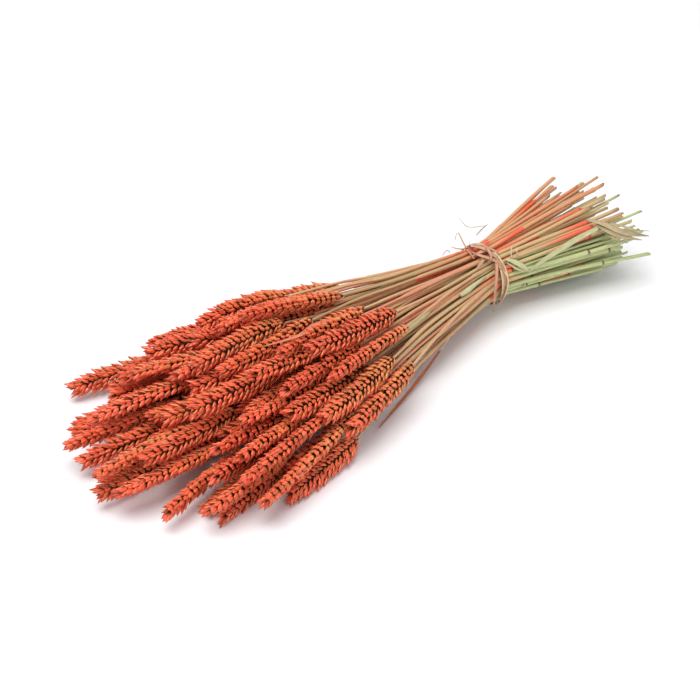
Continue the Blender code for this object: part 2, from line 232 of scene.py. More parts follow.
def straighten(keys, keyX, amount):
    moved = keys.copy()
    for j in range(1, bunch["keys"] - 1):
        share = (keyX[:, j - 1] - keyX[:, j]) / (keyX[:, j - 1] - keyX[:, j + 1])
        line = keys[:, j - 1] * (1 - share)[:, None] + keys[:, j + 1] * share[:, None]
        near = {1: bunch["atTie"], 2: bunch["atTie"], bunch["middle"]: bunch["atMiddle"]}
        stiff = amount * near.get(j, 1.0)
        moved[:, j] += stiff * (line - keys[:, j])
    return moved


def layOut():  # pushes the stalks apart over a set number of rounds
    keyX, keys, sizes = planStalks()
    xs, weights, there, thick = stationsOf(keyX, sizes)
    isEar = there & (xs[None] < keyX[:, bunch["neck"], None])
    apartFrom = ~np.eye(bunch["stalks"], dtype=bool)[:, :, None]
    meet = there[:, None] & there[None] & apartFrom
    hold = bunch["tieRadius"] - np.array([foot for _, foot, _ in sizes])
    floorShare = np.where(isEar, bunch["floorShare"], 1.0)
    middle = np.array([0, bunch["tieHeight"]])
    first = keys.copy()
    closer = np.ones(meet.shape)
    pairs = []
    for turn in range(bunch["rounds"]):
        part = turn / bunch["rounds"]
        places = np.einsum("nkm,nmc->nkc", weights, keys)
        slope = np.gradient(places, xs, axis=1)
        tilt = np.sqrt(1 + (slope**2).sum(2))
        if not pairs and part > bunch["pairedFrom"]:
            pairs = pressPairs(places, isEar)
            for i, j in pairs:
                together = isEar[i] & isEar[j]
                closer[i, j] = closer[j, i] = np.where(together, bunch["pressed"], 1)
        room = (thick + bunch["clearance"] / 2) * tilt
        apart = places[:, None] - places[None]
        far = np.linalg.norm(apart, axis=3) + 1e-9
        need = (room[:, None] + room[None]) * closer
        short = np.where(meet, np.maximum(0, need - far), 0)
        short -= np.where(closer < 1, np.maximum(0, far - need), 0)
        push = (apart / far[..., None] * (0.5 * short)[..., None]).sum(1)
        sunk = np.maximum(0, floorShare * thick * tilt - places[..., 1]) * there
        push[..., 1] += sunk
        touched = (short != 0).any(1) | (sunk > 0)
        total = np.einsum("nkm,nkc->nmc", weights, push)
        count = np.einsum("nkm,nk->nm", weights, touched)
        keys += total / np.maximum(count, 0.5)[..., None]
        if part < bunch["stiffUntil"]:
            early = part < bunch["settleUntil"]
            keys = straighten(keys, keyX, bunch["stiffness"] if early else bunch["lateStiffness"])
        if part < bunch["memoryUntil"]:
            keys += bunch["memory"] * (first - keys)
        for j in (1, 2):
            out = keys[:, j] - middle
            farOut = np.linalg.norm(out, axis=1)
            keys[:, j] = middle + out * np.minimum(1, hold / farOut)[:, None]
    points = np.dstack([keyX, keys[..., 0], keys[..., 1]])
    return points, sizes, pairs


def earNames(pairs):  # which stalks' ears each CAD node holds
    second = {j for _, j in pairs}
    partner = dict(pairs)
    named = {}
    for i in range(bunch["stalks"]):
        if i not in second:
            name = f"ear_{len(named) + 1:02d}"
            named[name] = [i, partner[i]] if i in partner else [i]
    return named


def findShift(stalks, named):  # from the layout's origin to the frame's
    gaps = []
    for name, members in named.items():
        if len(members) > 1:
            continue
        low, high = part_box(name)
        ear = stalks[members[0]][bunch["neck"] :]
        gaps.append(np.array((low + high) / 2) - (ear.min(0) + ear.max(0)) / 2)
    return np.median(gaps, axis=0)


def linear(hexCode):
    channels = [int(hexCode[i : i + 2], 16) / 255 for i in (0, 2, 4)]
    return (*[c / 12.92 if c <= 0.04045 else ((c + 0.055) / 1.055) ** 2.4 for c in channels], 1)


def addNode(tree, kind, inputs=None, **settings):
    node = tree.nodes.new(kind)
    for name, value in settings.items():
        setattr(node, name, value)
    for key, value in (inputs or {}).items():
        if isinstance(value, bpy.types.NodeSocket):
            tree.links.new(value, node.inputs[key])
        else:
            node.inputs[key].default_value = value
    return node


def newMaterial(name):
    made = bpy.data.materials.new(name)
    made.use_nodes = True
    made.node_tree.nodes.clear()
    return made, made.node_tree


def rampColour(tree, share, stops):
    node = addNode(tree, "ShaderNodeValToRGB", {"Fac": share})
    elements = node.color_ramp.elements
    while len(elements) < len(stops):
        elements.new(0.5)
    for element, (place, hexCode) in zip(elements, stops):
        element.position = place
        element.color = linear(hexCode)
    return node.outputs["Color"]


def attribute(tree, name):
    return addNode(tree, "ShaderNodeAttribute", attribute_name=name).outputs["Fac"]


def calculate(tree, operation, a, b=0.0, c=0.0):
    return addNode(tree, "ShaderNodeMath", {0: a, 1: b, 2: c}, operation=operation).outputs[0]


def mixColours(tree, share, first, second, blend="MIX"):
    inputs = {0: share, 6: first, 7: second}
    return addNode(tree, "ShaderNodeMix", inputs, data_type="RGBA", blend_type=blend).outputs[2]


def cover(tree, colour, hexCode, share, strength=1.0):
    amount = calculate(tree, "MULTIPLY", share, strength)
    return mixColours(tree, amount, colour, linear(hexCode))


def fade(tree, value, start, end, low=0.0, high=1.0):  # low at start, high at end
    inputs = {"Value": value, "From Min": start, "From Max": end, "To Min": low, "To Max": high}
    return addNode(tree, "ShaderNodeMapRange", inputs).outputs[0]


def noise(tree, place, scale, detail):
    inputs = {"Vector": place, "Scale": scale, "Detail": detail}
    return addNode(tree, "ShaderNodeTexNoise", inputs).outputs["Fac"]


def stripNoise(tree, settings, *places):  # noise drawn out along a strip
    factors, scale, detail = settings
    strip = addNode(tree, "ShaderNodeCombineXYZ", dict(zip("XYZ", places))).outputs[0]
    inputs = {0: strip, 1: factors}
    drawn = addNode(tree, "ShaderNodeVectorMath", inputs, operation="MULTIPLY").outputs[0]
    return noise(tree, drawn, scale, detail)


def finishMaterial(tree, finish, colour, height):
    relief = {"Height": height, "Strength": finish["bump"], "Distance": finish["relief"]}
    bump = addNode(tree, "ShaderNodeBump", relief)
    surface = {
        "Base Color": colour,
        "Roughness": finish["roughness"],
        "IOR": finish["ior"],
        "Normal": bump.outputs[0],
    }
    shader = addNode(tree, "ShaderNodeBsdfPrincipled", surface)
    addNode(tree, "ShaderNodeOutputMaterial", {"Surface": shader.outputs[0]})


# Dyed husks of bread wheat: dry, papery, ribbed lengthwise and a little shiny. The dye sits
# thickest on the tips, and the pale straw shows through it towards the base. Each layer says
# what it follows, its colour, where it starts and is full, and how strong it is there
huskFinish = {
    "stops": ((0.0, "E0944E"), (0.22, "F49A58"), (0.55, "EE4E28"), (0.85, "EA3824")),
    "shares": {"tone": 0.30, "earAlong": 0.55, "earTone": 0.45},
    "less": 0.90,
    "mottle": 0.0022,
    "mottleDetail": 2.0,
    "mottleShare": 0.5,
    "pink": "FF7E5A",
    "pinkPower": 3.0,
    "pinkShare": 0.55,
    "layers": (
        ("tone", "9C2812", 0.40, 0.0, 0.7),  # darker husks
        ("aside", "FFBC84", 0.36, 0.04, 0.4),  # painted highlight along the keels
        ("aside", "F8B674", 0.68, 0.85, 0.5),  # pale undyed rims, with a painted highlight along them too
        ("along", "7A1C18", 0.9, 1.0, 0.8),  # points
        ("along", "3E0A0A", 0.34, 0.08, 0.96),  # painted shade deep between the husks, darkening their bases
    ),
    "ribs": 5,
    "ribHeight": 0.5,
    "mottleHeight": 0.6,
    "bump": 0.5,
    "relief": 0.0002,
    "roughness": 0.40,
    "ior": 1.5,
}


def huskMaterial():
    finish = huskFinish
    material, tree = newMaterial("dyed wheat husk")
    along, across = attribute(tree, "huskAlong"), attribute(tree, "huskAcross")
    tone = attribute(tree, "tone")
    place = addNode(tree, "ShaderNodeTexCoord").outputs["Object"]
    mottle = noise(tree, place, 1 / finish["mottle"], finish["mottleDetail"])
    share = calculate(tree, "MULTIPLY_ADD", mottle, finish["mottleShare"], along)
    for name, amount in finish["shares"].items():
        share = calculate(tree, "MULTIPLY_ADD", attribute(tree, name), amount, share)
    share = calculate(tree, "SUBTRACT", share, finish["less"])
    colour = rampColour(tree, share, finish["stops"])
    pinkness = calculate(tree, "POWER", tone, finish["pinkPower"])
    colour = cover(tree, colour, finish["pink"], pinkness, finish["pinkShare"])
    values = {"tone": tone, "aside": calculate(tree, "ABSOLUTE", across), "along": along}
    for name, hexCode, start, full, strength in finish["layers"]:
        colour = cover(tree, colour, hexCode, fade(tree, values[name], start, full), strength)
    ribs = calculate(tree, "SINE", calculate(tree, "MULTIPLY", across, math.pi * finish["ribs"]))
    height = calculate(tree, "MULTIPLY", ribs, finish["ribHeight"])
    height = calculate(tree, "MULTIPLY_ADD", mottle, finish["mottleHeight"], height)
    finishMaterial(tree, finish, colour, height)
    return material


# Dry straw: smooth, waxy and finely fibred lengthwise, tan where it ripened and green where it
# did not, with the dye run into the leaf sheaths beside the nodes, and painted shade down in the
# hole of each cut end
strawFinish = {
    "stops": ((0.0, "A69262"), (0.35, "C8A87A"), (0.6, "C8A87A"), (0.85, "D28E6E")),
    "less": 0.42,
    "patchShare": 0.9,
    "orange": "D89C6C",
    "green": "BAC48A",
    "blush": "DC7656",
    "blushFrom": (0.38, 0.64),
    "blushShare": 0.75,
    "blushOnGreen": -0.9,
    "dye": "EE5A3C",
    "dyeRagged": 1.2,
    "dyeLess": 0.60,
    "dyeFrom": (0.20, 0.75),
    "dyeShare": 0.88,
    "streaks": (0.3, 0.7, 0.80, 1.14),
    # dark node rings; the same dark colour is the painted shade inside the cut ends' holes
    "node": "3E3020",
    "paintedHoleShadeShare": 0.9,
    "fibres": ((120.0, 9.0, 40.0), 1.6, 3.0),
    "patches": ((22.0, 0.6, 60.0), 1.0, 2.0),
    "bump": 0.35,
    "relief": 0.00025,
    "roughness": 0.36,
    "ior": 1.5,
}


def strawMaterial():
    finish = strawFinish
    material, tree = newMaterial("dry wheat straw")
    along, around, tone = [attribute(tree, name) for name in ("along", "around", "tone")]
    fibres = stripNoise(tree, finish["fibres"], along, around, tone)
    patches = stripNoise(tree, finish["patches"], along, around, tone)
    share = calculate(tree, "MULTIPLY_ADD", patches, finish["patchShare"], tone)
    share = calculate(tree, "SUBTRACT", share, finish["less"])
    colour = rampColour(tree, share, finish["stops"])
    colour = cover(tree, colour, finish["orange"], attribute(tree, "warm"))
    green = attribute(tree, "green")
    colour = cover(tree, colour, finish["green"], green)
    blush = fade(tree, patches, *finish["blushFrom"])
    blush = calculate(tree, "MULTIPLY", blush, calculate(tree, "ABSOLUTE", around))
    ripe = calculate(tree, "MULTIPLY_ADD", green, finish["blushOnGreen"], 1.0)
    blush = calculate(tree, "MULTIPLY", blush, ripe)
    colour = cover(tree, colour, finish["blush"], blush, finish["blushShare"])
    dye = calculate(tree, "SUBTRACT", attribute(tree, "dye"), finish["dyeLess"])
    ragged = calculate(tree, "MULTIPLY_ADD", fibres, finish["dyeRagged"], dye)
    ragged = fade(tree, ragged, *finish["dyeFrom"])
    colour = cover(tree, colour, finish["dye"], ragged, finish["dyeShare"])
    streak = fade(tree, fibres, *finish["streaks"])
    grey = addNode(tree, "ShaderNodeCombineColor", {0: streak, 1: streak, 2: streak}).outputs[0]
    colour = mixColours(tree, 1.0, colour, grey, "MULTIPLY")
    colour = cover(tree, colour, finish["node"], attribute(tree, "nodeRing"))
    # The floor of each cut end's hole is darkened: painted shade in the recess, not a colour of
    # the straw
    paintedHoleShade = attribute(tree, "paintedHoleShade")
    colour = cover(tree, colour, finish["node"], paintedHoleShade, finish["paintedHoleShadeShare"])
    finishMaterial(tree, finish, colour, fibres)
    return material


# Dried leaf and raffia: thin, matt, ribbed lengthwise by its veins, paler on the folds
leafFinishes = {
    "green leaf": {"pale": "CFCD9E", "dark": "A7A673", "edge": "9A8A60"},
    "brown leaf": {"pale": "C6B48E", "dark": "97835F", "edge": "74604A"},
    "dyed leaf": {"pale": "DE8F6C", "dark": "B9603F", "edge": "8F5030"},
    "raffia": {"pale": "D8A888", "dark": "AC7858", "edge": "7E4E3A"},
    "pale raffia": {"pale": "EAD9AC", "dark": "C8B27C", "edge": "9C8858"},
}

leafSurface = {
    "veins": ((90.0, 5.0, 1.0), 1.5, 3.0),
    "darkUntil": 0.32,
    "paleFrom": 0.62,
    "rimPower": 6.0,
    "rimShare": 0.5,
    "ribs": 22.0,
    "ribHeight": 0.25,
    "bump": 0.5,
    "relief": 0.0003,
    "roughness": 0.6,
    "ior": 1.45,
}


def leafMaterial(name):
    colours, finish = leafFinishes[name], leafSurface
    material, tree = newMaterial(name)
    across = attribute(tree, "across")
    veins = stripNoise(tree, finish["veins"], attribute(tree, "along"), across)
    stops = ((finish["darkUntil"], colours["dark"]), (finish["paleFrom"], colours["pale"]))
    colour = rampColour(tree, veins, stops)
    rim = calculate(tree, "POWER", calculate(tree, "ABSOLUTE", across), finish["rimPower"])
    colour = cover(tree, colour, colours["edge"], rim, finish["rimShare"])
    ribs = calculate(tree, "SINE", calculate(tree, "MULTIPLY", across, finish["ribs"]))
    height = calculate(tree, "MULTIPLY_ADD", ribs, finish["ribHeight"], veins)
    finishMaterial(tree, finish, colour, height)
    return material


def meshFrom(name, verts, faces, edges=(), attributes=None):
    mesh = bpy.data.meshes.new(name)
    mesh.from_pydata([tuple(v) for v in verts], list(edges), list(faces))
    for key, values in (attributes or {}).items():
        layer = mesh.attributes.new(key, "FLOAT", "POINT")
        layer.data.foreach_set("value", np.asarray(values, dtype=np.float32))
    mesh.update()
    return mesh


def newObject(name, mesh, *materials):
    obj = bpy.data.objects.new(name, mesh)
    bpy.context.scene.collection.objects.link(obj)
    for material in materials:
        mesh.materials.append(material)
    return obj


def applyTree(obj, tree, values):  # runs a node tree on an object and keeps the plain mesh
    modifier = obj.modifiers.new(tree.name, "NODES")
    modifier.node_group = tree
    sockets = {s.name: s.identifier for s in tree.interface.items_tree if s.in_out == "INPUT"}
    for name, value in values.items():
        modifier[sockets[name]] = value
    bpy.context.view_layer.update()
    graph = bpy.context.evaluated_depsgraph_get()
    mesh = bpy.data.meshes.new_from_object(obj.evaluated_get(graph))
    obj.modifiers.clear()
    obj.data = mesh
    return obj


# One husk: a narrow boat with a keel outside, flatter inside, ending in a short point that
# bends out. All sizes are shares of its length
husk = {
    "levels": ((0.0, 0.14), (0.16, 0.32), (0.44, 0.40), (0.76, 0.26)),
    "thickShare": 0.70,
    "innerShare": 0.35,
    "keel": 1.45,
    "sides": 6,
    "bow": 0.04,
    "pointBend": 0.10,
}


def makeHusk():
    verts, faces, along, across = [], [], [], []
    sides = husk["sides"]
    for level, width in husk["levels"]:
        middle = husk["bow"] * math.sin(math.pi * level)
        for q in range(sides):
            angle = math.tau * q / sides
            out = math.cos(angle)
            share = husk["thickShare"] * (husk["keel"] if q == 0 else 1)
            share *= 1 if out > 0 else husk["innerShare"]
            verts.append((middle + out * width / 2 * share, math.sin(angle) * width / 2, level))
            along.append(level)
            across.append(math.sin(angle))
    for level in range(len(husk["levels"]) - 1):
        for q in range(sides):
            a, b = level * sides + q, level * sides + (q + 1) % sides
            faces.append((a, b, b + sides, a + sides))
    verts.append((husk["pointBend"], 0, 1.0))
    along.append(1.0)
    across.append(0.0)
    last = (len(husk["levels"]) - 1) * sides
    for q in range(sides):
        faces.append((last + q, last + (q + 1) % sides, len(verts) - 1))
    faces.append(tuple(reversed(range(sides))))
    mesh = meshFrom("husk", verts, faces, (), {"huskAlong": along, "huskAcross": across})
    obj = newObject("husk", mesh)
    obj.hide_render = True
    return obj


# One ear: spikelets in two rows that take turns, each a fan of husks of which the middle ones
# sit furthest out and forward. Lengths in metres, angles in radians. Each is an input of the
# ear's node tree
ear = {
    "spikelets": 36,
    "husks": 5,
    "huskLength": 0.0094,
    "middleSize": 1.08,
    "outerLess": -0.06,
    "opening": 0.54,
    "fan": 0.50,
    "sink": 0.16,
    "middleOut": 0.34,
    "middleOn": 0.0020,
    "core": 0.30,
    "trim": 0.92,
    "jitter": 0.30,
    "floor": 0.0002,
}

# How these change from an ear's base, 0, to its tip, 1
earCurves = {
    "fullness": ((0, 0.55), (0.16, 1), (0.62, 1), (1, 0.38)),
    "length": ((0, 0.62), (0.14, 0.92), (0.7, 0.98), (1, 1.08)),
    "opening": ((0, 0.8), (0.3, 1), (0.7, 1.05), (1, 0.75)),
    "core": ((0, 0.5), (0.1, 1), (0.7, 0.9), (0.95, 0.3), (1, 0.1)),
}

# What differs between husks: the least, the most and what is added to the ear's seed
huskDraws = {
    "opening": (0.8, 1.2, 1.0),
    "leanX": (-0.5, 0.5, 2.0),
    "leanY": (-0.5, 0.5, 3.0),
    "turn": (-1.0, 1.0, 4.0),
    "size": (0.9, 1.1, 5.0),
    "tone": (0.0, 1.0, 6.0),
}

earLine = {"steps": 16, "seedStep": 10, "toneSeed": 4}


def earTree():
    tree = bpy.data.node_groups.new("ear", "GeometryNodeTree")
    for direction in ("INPUT", "OUTPUT"):
        tree.interface.new_socket("Geometry", in_out=direction, socket_type="NodeSocketGeometry")
    kinds = {
        name: "NodeSocketInt" if isinstance(value, int) else "NodeSocketFloat"
        for name, value in ear.items()
    }
    kinds |= {"seed": "NodeSocketInt", "husk": "NodeSocketObject", "finish": "NodeSocketMaterial"}
    for name, kind in kinds.items():
        tree.interface.new_socket(name, in_out="INPUT", socket_type=kind)
    given = addNode(tree, "NodeGroupInput").outputs
    add = partial(addNode, tree)
    maths = partial(calculate, tree)

    def vector(operation, a, b=(0, 0, 0)):
        return add("ShaderNodeVectorMath", {0: a, 1: b}, operation=operation).outputs[0]

    def scaled(a, size):
        return add("ShaderNodeVectorMath", {0: a, "Scale": size}, operation="SCALE").outputs[0]

    def named(name):
        node = add("GeometryNodeInputNamedAttribute", {"Name": name}, data_type="FLOAT")
        return node.outputs["Attribute"]

    def store(geometry, name, value):
        inputs = {"Geometry": geometry, "Name": name, "Value": value}
        settings = {"data_type": "FLOAT", "domain": "POINT"}
        return add("GeometryNodeStoreNamedAttribute", inputs, **settings).outputs[0]

    def rotated(first, second):
        inputs = {"Rotation": first.outputs[0], "Rotate By": second.outputs[0]}
        return add("FunctionNodeRotateRotation", inputs, rotation_space="LOCAL")

    def drawn(name):
        low, high, extra = huskDraws[name]
        seed = maths("ADD", given["seed"], extra)
        node = add("FunctionNodeRandomValue", {"Seed": seed}, data_type="FLOAT")
        node.inputs[2].default_value, node.inputs[3].default_value = low, high
        return node.outputs[1]

    def profile(u, name):
        points = earCurves[name]
        node = add("ShaderNodeFloatCurve", {"Value": u})
        line = node.mapping.curves[0]
        line.points[0].location = points[0]
        line.points[1].location = points[-1]
        for point in points[1:-1]:
            line.points.new(*point)
        node.mapping.update()
        return node.outputs[0]

    curve = add("GeometryNodeMeshToCurve", {0: given["Geometry"]}).outputs[0]
    trimmed = add("GeometryNodeTrimCurve", {"Curve": curve}, mode="FACTOR")
    for socket in trimmed.inputs:
        if socket.name == "End" and socket.enabled:
            tree.links.new(given["trim"], socket)
            break
    counted = {"Curve": trimmed.outputs[0], "Count": given["spikelets"]}
    spots = add("GeometryNodeCurveToPoints", counted, mode="COUNT")
    index = add("GeometryNodeInputIndex").outputs[0]
    turn = maths("MODULO", index, given["spikelets"])
    points = store(spots.outputs["Points"], "row", maths("MODULO", index, 2.0))
    span = maths("SUBTRACT", given["spikelets"], 1.0)
    points = store(points, "earAlong", maths("DIVIDE", turn, span))
    amount = {"Geometry": points, "Amount": given["husks"]}
    copies = add("GeometryNodeDuplicateElements", amount, domain="POINT")
    u = named("earAlong")
    halfFan = maths("DIVIDE", maths("SUBTRACT", given["husks"], 1.0), 2.0)
    fromMiddle = maths("SUBTRACT", copies.outputs["Duplicate Index"], halfFan)
    aside = maths("ABSOLUTE", fromMiddle)
    angle = maths("MULTIPLY_ADD", named("row"), math.pi, named("roll"))
    angle = maths("MULTIPLY_ADD", fromMiddle, given["fan"], angle)
    tangent = spots.outputs["Tangent"]
    side = vector("NORMALIZE", vector("CROSS_PRODUCT", tangent, (0, 0, 1)))
    over = vector("CROSS_PRODUCT", side, tangent)
    sideways = scaled(side, maths("COSINE", angle))
    out = vector("ADD", sideways, scaled(over, maths("SINE", angle)))
    inward = maths("SUBTRACT", 1.0, maths("DIVIDE", aside, halfFan))
    sink = maths("MULTIPLY_ADD", inward, given["middleOut"], given["sink"])
    thick = maths("MULTIPLY", named("size"), profile(u, "fullness"))
    sink = maths("MULTIPLY", thick, sink)
    forward = maths("MULTIPLY", inward, given["middleOn"])
    offset = vector("ADD", scaled(out, sink), scaled(tangent, forward))
    moved = add("GeometryNodeSetPosition", {"Geometry": copies.outputs[0], "Offset": offset})
    upright = add("FunctionNodeAlignRotationToVector", {"Vector": tangent}, axis="Z")
    facing = {"Rotation": upright.outputs[0], "Vector": out}
    faced = add("FunctionNodeAlignRotationToVector", facing, axis="X", pivot_axis="Z")
    opening = maths("MULTIPLY", given["opening"], profile(u, "opening"))
    opening = maths("MULTIPLY", opening, drawn("opening"))
    tip = add("FunctionNodeAxisAngleToRotation", {"Axis": (0, 1, 0), "Angle": opening})
    wobble = {"X": drawn("leanX"), "Y": drawn("leanY"), "Z": drawn("turn")}
    wobble = scaled(add("ShaderNodeCombineXYZ", wobble).outputs[0], given["jitter"])
    wobble = add("FunctionNodeEulerToRotation", {0: wobble})
    turned = rotated(rotated(faced, tip), wobble)
    outer = maths("MULTIPLY_ADD", aside, given["outerLess"], given["middleSize"])
    size = maths("MULTIPLY", given["huskLength"], profile(u, "length"))
    size = maths("MULTIPLY", maths("MULTIPLY", size, outer), drawn("size"))
    source = add("GeometryNodeObjectInfo", {"Object": given["husk"]})
    toned = store(moved.outputs[0], "tone", drawn("tone"))
    instances = {
        "Points": toned,
        "Instance": source.outputs["Geometry"],
        "Rotation": turned.outputs[0],
        "Scale": size,
    }
    husks = add("GeometryNodeInstanceOnPoints", instances)
    step = add("GeometryNodeSplineParameter").outputs["Factor"]
    radius = maths("MULTIPLY", named("size"), given["core"])
    radius = maths("MULTIPLY", radius, profile(step, "core"))
    coreCurve = add("GeometryNodeSetCurveRadius", {"Curve": curve, "Radius": radius}).outputs[0]
    ring = add("GeometryNodeCurvePrimitiveCircle", {"Resolution": 6, "Radius": 1.0}).outputs[0]
    swept = {"Curve": coreCurve, "Profile Curve": ring, "Fill Caps": True}
    core = add("GeometryNodeCurveToMesh", swept)
    scaleSocket = core.inputs.get("Scale")
    if scaleSocket:
        tree.links.new(add("GeometryNodeInputRadius").outputs[0], scaleSocket)
    # The core is given a husk-base place, so it takes the painted shade of the husk bases and
    # shows dark between the rows
    coreMesh = store(core.outputs[0], "huskAlong", 0.05)
    coreMesh = store(coreMesh, "huskAcross", 0.6)
    both = add("GeometryNodeJoinGeometry")
    tree.links.new(coreMesh, both.inputs[0])
    tree.links.new(husks.outputs[0], both.inputs[0])
    real = add("GeometryNodeRealizeInstances", {0: both.outputs[0]})
    where = add("GeometryNodeInputPosition").outputs[0]
    split = add("ShaderNodeSeparateXYZ", {0: where}).outputs
    lifted = maths("MAXIMUM", split["Z"], given["floor"])
    above = add("ShaderNodeCombineXYZ", {"X": split["X"], "Y": split["Y"], "Z": lifted})
    moved = {"Geometry": real.outputs[0], "Position": above.outputs[0]}
    placed = add("GeometryNodeSetPosition", moved).outputs[0]
    smooth = add("GeometryNodeSetShadeSmooth", {"Geometry": placed}).outputs[0]
    finished = {"Geometry": smooth, "Material": given["finish"]}
    add("NodeGroupOutput", {0: add("GeometryNodeSetMaterial", finished).outputs[0]})
    return tree


def bentEar(points, steps):  # the parabola through an ear's base, middle and tip
    base, middle, tip = points
    for k in range(steps):
        u = k / (steps - 1)
        near = base * (2 * (u - 0.5) * (u - 1)) + middle * (4 * u * (1 - u))
        yield near + tip * (2 * u * (u - 0.5))


def makeEars(stalks, sizes, named, material):
    source = makeHusk()
    tree = earTree()
    values = {**ear, "husk": source, "finish": material}
    steps = earLine["steps"]
    total = 0
    draw = random.Random(earLine["toneSeed"])
    for number, (name, members) in enumerate(named.items()):
        verts, edges, roll, size, earTone = [], [], [], [], []
        for i in members:
            first = len(verts)
            verts += list(bentEar(stalks[i][bunch["neck"] :], steps))
            edges += [(k, k + 1) for k in range(first, len(verts) - 1)]
            roll += [sizes[i][2]] * steps
            size += [sizes[i][0]] * steps
            earTone += [draw.random()] * steps
        columns = {"roll": roll, "size": size, "earTone": earTone}
        line = meshFrom(name, verts, [], edges, columns)
        piece = newObject("dyed_" + name, line)
        applyTree(piece, tree, {**values, "seed": earLine["seedStep"] * number})
        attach(piece, "root")
        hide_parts(name)
        total += len(piece.data.polygons)
    bpy.data.objects.remove(source)
    print(f"ears: {len(named)} pieces, {total} faces")


# The stems: where their nodes and leaf sheaths are, in metres from the ear's base. Thinner
# stems fill the room between three of the thick ones
straw = {
    "gap": 0.0035,
    "slimmer": 0.94,
    "sides": 9,
    "intoEar": 0.004,
    "firstNode": (0.11, 0.25),
    "nodeGap": (0.085, 0.125),
    "nodeHalf": 0.0016,
    "nodeSwell": 1.16,
    "ringHalf": 0.0007,
    "sheathReach": (0.09, 0.15),
    "sheathStep": 0.0004,
    "dyed": 0.6,
    "dyeReach": (0.014, 0.045),
    "holeDepth": 0.005,
    "holeShare": 0.66,
    "slant": 1.2,
    "thinStems": 84,
    "thinShare": 0.72,
    "thinWithin": 0.31,
    "thinFromMiddle": 0.36,
    "bow": 0.0007,
    "bowLength": 0.03,
    "bowFrom": 0.06,
    "bowRise": 0.6,
    "lastNode": 0.01,
    "sheathEdge": 0.0003,
    "dyeStart": -0.002,
    "dyeEnd": 1.4,
    "dyeFade": 0.6,
    "ringTone": 0.85,
    "thinCut": (-0.15, 0.17),
    "floor": 0.0001,
    "seed": 21,
}

# Cut ends low in the bunch are green and high ones are warm. Green and warm: how much this
# follows the height, then the mean and the spread
ripening = {
    "up": -0.8,
    "across": -0.45,
    "green": (1.3, 0.95, 0.36),
    "warm": (-0.9, -0.05, 0.35),
    "greenAtEars": 0.15,
    "beforeTie": 0.04,
    "within": 0.05,
}


def smoothPath(keys, step=0.002):  # a Catmull-Rom line through the keys, cut end first
    padded = [keys[0] * 2 - keys[1], *keys, keys[-1] * 2 - keys[-2]]
    line = []
    for a, b, c, d in zip(padded, padded[1:], padded[2:], padded[3:]):
        count = max(2, int(np.linalg.norm(c - b) / step))
        for k in range(count):
            t = k / count
            bent = (2 * a - 5 * b + 4 * c - d) * t**2 + (3 * b - a - 3 * c + d) * t**3
            line.append(0.5 * (2 * b + (c - a) * t + bent))
    line.append(keys[-1])
    return np.array(line)


def describeStem(keys, foot, draw):
    path = smoothPath(keys)
    gone = np.concatenate([[0], np.cumsum(np.linalg.norm(np.diff(path, axis=0), axis=1))])
    whole = gone[-1]
    nodes = []
    spot = draw.uniform(*straw["firstNode"])
    while spot < whole - straw["lastNode"]:
        nodes.append(spot)
        spot += draw.uniform(*straw["nodeGap"])
    sheaths = [(node - draw.uniform(*straw["sheathReach"]), node) for node in nodes]
    dyes = [draw.uniform(*straw["dyeReach"]) * (draw.random() < straw["dyed"]) for _ in nodes]
    half, ring = straw["nodeHalf"], straw["ringHalf"]
    tieSpot = whole - np.interp(-tieMiddle.x, -path[:, 0], gone)
    stops = list(np.linspace(0, whole, int(whole / straw["gap"] / 3)))
    for node in nodes:
        stops += [node + d for d in (-2 * half, -half, -ring, 0, ring, half, 2 * half)]
    for top, _ in sheaths:
        stops += [top - straw["sheathEdge"], top + straw["sheathEdge"]]
    stops = sorted({s for s in stops if 0 <= s <= whole}, reverse=True)
    tone = draw.random()
    phase = draw.uniform(0, math.tau)
    values = {key: [] for key in ("along", "dye", "nodeRing", "tone")}
    points, radii = [], []
    for s in stops:
        share = 1 - s / whole
        place = np.array([np.interp(whole - s, gone, path[:, c]) for c in range(3)])
        wave = straw["bow"] * math.sin(phase + s / straw["bowLength"]) * ease(s / straw["bowFrom"])
        points.append(place + np.array([0, wave, wave * straw["bowRise"]]))
        radius = straw["slimmer"] * (bunch["neckRadius"] * share + foot * (1 - share))
        covered = any(top < s < node for top, node in sheaths)
        radius += straw["sheathStep"] / 2 * (1 if covered else -1)
        nearest = min((abs(s - node) for node in nodes), default=1)
        radii.append(radius * (1 + (straw["nodeSwell"] - 1) * ease(1 - nearest / (2 * half))))
        dye = 0.0
        for node, reach in zip(nodes, dyes):
            toTie = (s - node) * (1 if node < tieSpot else -1)
            if reach and straw["dyeStart"] < toTie < straw["dyeEnd"] * reach:
                dye = max(dye, 1 - straw["dyeFade"] * toTie / reach)
        values["along"].append(s)
        values["dye"].append(max(0.0, dye))
        ringed = nearest <= ring * 1.01 and s > tieSpot
        values["nodeRing"].append(straw["ringTone"] if ringed else 0.0)
        values["tone"].append(tone)
    return np.array(points), radii, values


